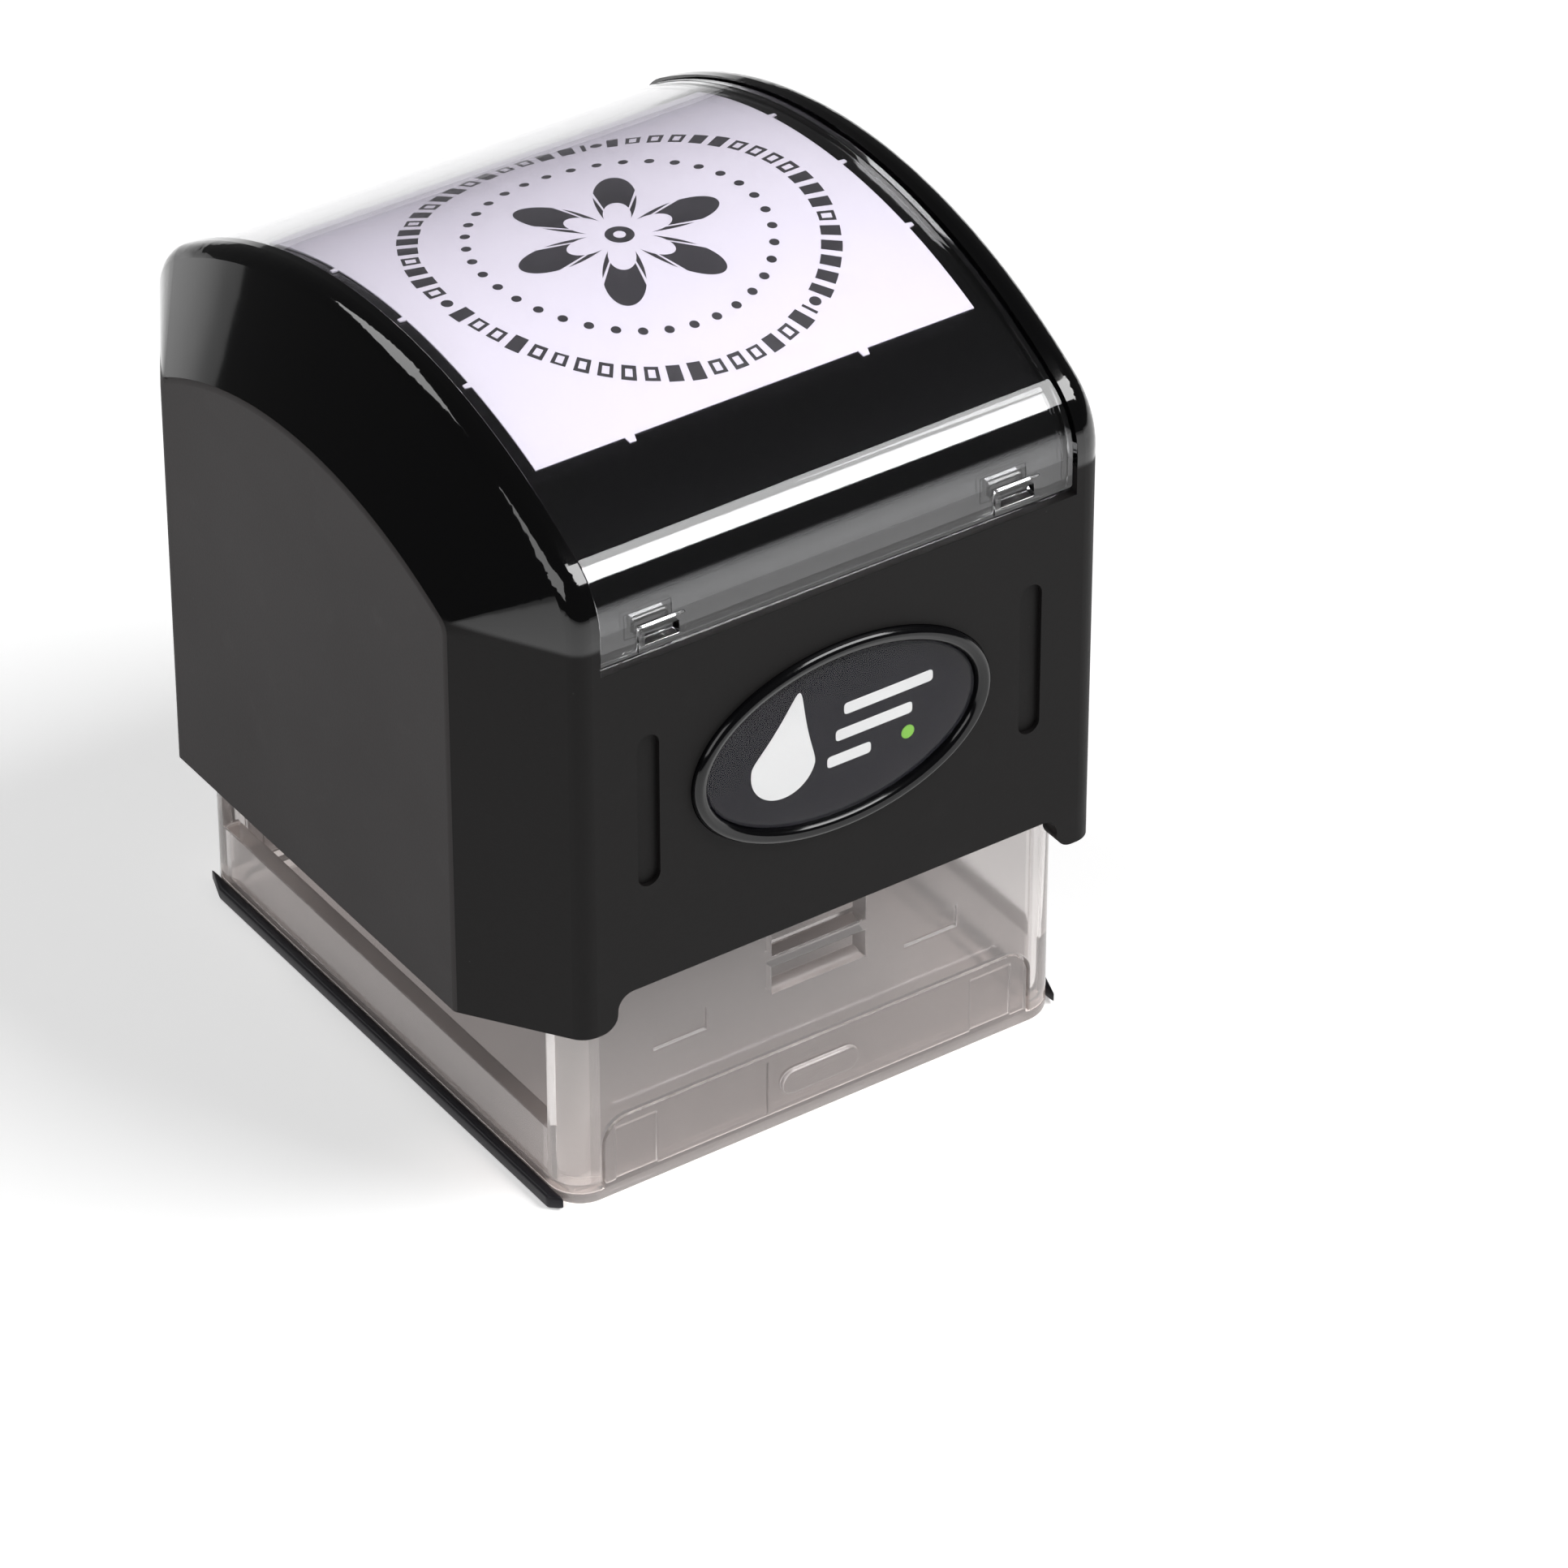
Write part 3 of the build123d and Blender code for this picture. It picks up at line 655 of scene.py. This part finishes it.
def makeSpring(name, x, y):  # closed flat coils at both ends, open ones between
    s = springSet
    bm = bmesh.new()
    ring = bmesh.ops.create_circle(bm, radius=s["wire"], segments=s["wireSides"])["verts"]
    bmesh.ops.rotate(bm, cent=(0, 0, 0), matrix=Matrix.Rotation(math.pi / 2, 3, "X"), verts=ring)
    bmesh.ops.translate(bm, vec=(s["radius"], 0, s["foot"] + s["wire"]), verts=ring)
    row = firstLoop = bm.edges[:]
    flat = s["closed"] * 2 * s["wire"] * s["closedGap"]
    loose = s["top"] - s["foot"] - 2 * s["wire"] - 2 * flat
    row = coilLift(bm, row, s["closed"], flat)
    row = coilLift(bm, row, s["turns"], loose)
    row = coilLift(bm, row, s["closed"], flat)
    bmesh.ops.contextual_create(bm, geom=row)
    bmesh.ops.contextual_create(bm, geom=firstLoop)
    bmesh.ops.translate(bm, vec=(x, y, 0), verts=bm.verts)
    piece = finishPiece(bm, name + "Coil", "base", "spring_steel", [name])
    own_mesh(piece)


# moulded and turned pieces: the frame's own shapes with their sharp edges rounded
softSet = {  # node: (new name, body, slot, edge rounding)
    "base_frame": ("baseMoulding", "base", "clear_smoke", 0.16),
    "dust_cover": ("coverMoulding", "cover", "clear_smoke", 0.12),
    "cover_grip_left": ("coverGripLeft", "cover", "dark_rubber", 0.3),
    "cover_grip_right": ("coverGripRight", "cover", "dark_rubber", 0.3),
    "depth_screw": ("depthScrew", "screw", "zinc_steel", 0.1),
    "screw_clip": ("screwClip", "screw", "spring_steel", 0.12),
    "die_carrier": ("dieCarrier", "carrier", "grey_plastic", 0.18),
    "die_holder": ("dieHolder", "carrier", "black_inner", 0.2),
    "die_frame": ("dieFrame", "carrier", "black_inner", 0.12),
    "ink_cell": ("inkCell", "carrier", "ink_foam", 0.3),
    "printing_die": ("printingDie", "carrier", "die_gel", 0.15),
}
postStrip = {"x": 24.5, "from": 25.15, "to": 25.25}  # the posts' narrow flats, closed up before the rounding
flatAngle = 1.5  # faces that turn less than this, in degrees, are one face


def softEdges(node):
    name, body, slot, width = softSet[node]
    bm = bmesh.new()
    bm.from_mesh(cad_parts[node].data)
    bmesh.ops.remove_doubles(bm, verts=bm.verts, dist=0.001 * mm)
    bmesh.ops.scale(bm, vec=(1 / mm, 1 / mm, 1 / mm), verts=bm.verts)
    for vert in bm.verts:
        off = math.hypot(abs(vert.co.x) - postStrip["x"], abs(vert.co.y) - postStrip["from"])
        if node == "base_frame" and off < 0.01:
            vert.co.y = math.copysign(postStrip["to"], vert.co.y)
    bmesh.ops.remove_doubles(bm, verts=bm.verts, dist=0.001)
    bmesh.ops.dissolve_limit(bm, angle_limit=math.radians(flatAngle), verts=bm.verts, edges=bm.edges)
    bevelSharp(bm, width, 2, 40)
    finishPiece(bm, name, body, slot, [node])


mouldLine = {"x": -5.1, "width": 0.18, "low": 2.0, "high": 7.2, "proud": 0.06, "face": -28.35, "round": 0.036}


def makeMouldLine():  # the fine witness line on the front flap
    s = mouldLine
    bm = bmesh.new()
    bar = bmesh.ops.create_cube(bm, size=1)["verts"]
    bmesh.ops.scale(bm, vec=(s["width"], s["proud"], s["high"] - s["low"]), verts=bar)
    bmesh.ops.translate(bm, vec=(s["x"], s["face"] - s["proud"] / 2, (s["high"] + s["low"]) / 2), verts=bar)
    bevelSharp(bm, s["round"], 2, 35)
    finishPiece(bm, "mouldLine", "cover", "clear_smoke")


for node in softSet:
    softEdges(node)
makeMouldLine()
print("moulded pieces made:", len(softSet))
makeWindow()
makeLabel()
makeBadge()
makeMark()
for end, y in (("front", -springSet["y"]), ("rear", springSet["y"])):
    for side, x in (("left", -springSet["x"]), ("right", springSet["x"])):
        makeSpring(f"return_spring_{end}_{side}", x, y)
print("window, label, badge and springs made")


# studio: metres, except the floor's drop in millimetres
studio = {
    "aim": (0.01521, -0.00102, 0.01081), "distance": 0.7117, "azimuth": -34.35, "pitch": 35.6, "lens": 193.03,
    "floorSize": 6.0, "floorDrop": 0.03, "floorGlow": 0.36, "floorRough": 0.6, "floorPatch": 40,
    "floorColours": ((0.9, 0.9, 0.9, 1), (0.93, 0.93, 0.93, 1)), "world": 0.06, "backdrop": 0.9,
    "softboxes": {  # name: (direction from the object, distance, width, height, power)
        "key": ((0.459, -0.437, 0.773), 0.8, 0.46, 0.38, 5.6),
        "left": ((-0.80, -0.22, 0.56), 0.9, 0.6, 0.5, 2.4),
        "rear": ((-0.35, 0.55, 0.75), 0.9, 0.4, 0.4, 2.0),
    },
}


def aimed(thing, place, target, across=None):  # turns -Z to the target, and X along across where it is given
    back = (Vector(place) - Vector(target)).normalized()
    side = (across or Vector((0, 0, 1)).cross(back)).copy()
    side = (side - back * side.dot(back)).normalized()
    thing.location = place
    thing.rotation_euler = Matrix((side, back.cross(side), back)).transposed().to_euler()
    bpy.context.scene.collection.objects.link(thing)


def makeCamera():
    s = studio
    az, pitch = math.radians(s["azimuth"]), math.radians(s["pitch"])
    ahead = Vector((-math.sin(az) * math.cos(pitch), math.cos(az) * math.cos(pitch), -math.sin(pitch)))
    data = bpy.data.cameras.new("camera")
    data.lens = s["lens"]
    data.clip_start = 0.01
    camera = bpy.data.objects.new("camera", data)
    aimed(camera, Vector(s["aim"]) - ahead * s["distance"], s["aim"])
    bpy.context.scene.camera = camera


def makeLights():
    centre = (cadBox[0] + cadBox[1]) / 2
    for name, (direction, distance, width, height, power) in studio["softboxes"].items():
        data = bpy.data.lights.new(name, "AREA")
        data.shape = "RECTANGLE"
        data.size, data.size_y, data.energy = width, height, power
        place = centre + Vector(direction).normalized() * distance
        aimed(bpy.data.objects.new(name, data), place, centre, Vector((1, 0, 0)) if name == "key" else None)
    world = bpy.data.worlds.new("studioAir")
    world.use_nodes = True
    tree = world.node_tree
    air = tree.nodes["Background"]
    air.inputs["Color"].default_value = (1, 1, 1, 1)
    air.inputs["Strength"].default_value = studio["world"]
    backdrop = tree.nodes.new("ShaderNodeBackground")  # pale, and seen by the camera only, so it lights nothing
    backdrop.inputs["Strength"].default_value = studio["backdrop"]
    both = tree.nodes.new("ShaderNodeMixShader")
    tree.links.new(tree.nodes.new("ShaderNodeLightPath").outputs["Is Camera Ray"], both.inputs[0])
    tree.links.new(air.outputs[0], both.inputs[1])
    tree.links.new(backdrop.outputs[0], both.inputs[2])
    tree.links.new(both.outputs[0], tree.nodes["World Output"].inputs["Surface"])
    bpy.context.scene.world = world


def makeFloor():
    bm = bmesh.new()
    made = bmesh.ops.create_grid(bm, x_segments=2, y_segments=2, size=studio["floorSize"] / 2)
    bmesh.ops.translate(bm, vec=(0, 0, -studio["floorDrop"] * mm), verts=made["verts"])
    mesh = bpy.data.meshes.new("floor")
    bm.to_mesh(mesh)
    bm.free()
    floor = bpy.data.objects.new("floor", mesh)
    mat = Mat("paleFloor")
    pale = mat.blend(mat.noise(studio["floorPatch"], 2), *studio["floorColours"])
    mesh.materials.append(mat.finish({
        "Base Color": pale, "Roughness": studio["floorRough"], "Emission Color": (1, 1, 1, 1),
        "Emission Strength": studio["floorGlow"]}))
    bpy.context.scene.collection.objects.link(floor)


makeCamera()
makeLights()
makeFloor()
bpy.context.scene.view_settings.view_transform = "Standard"
print("studio made")
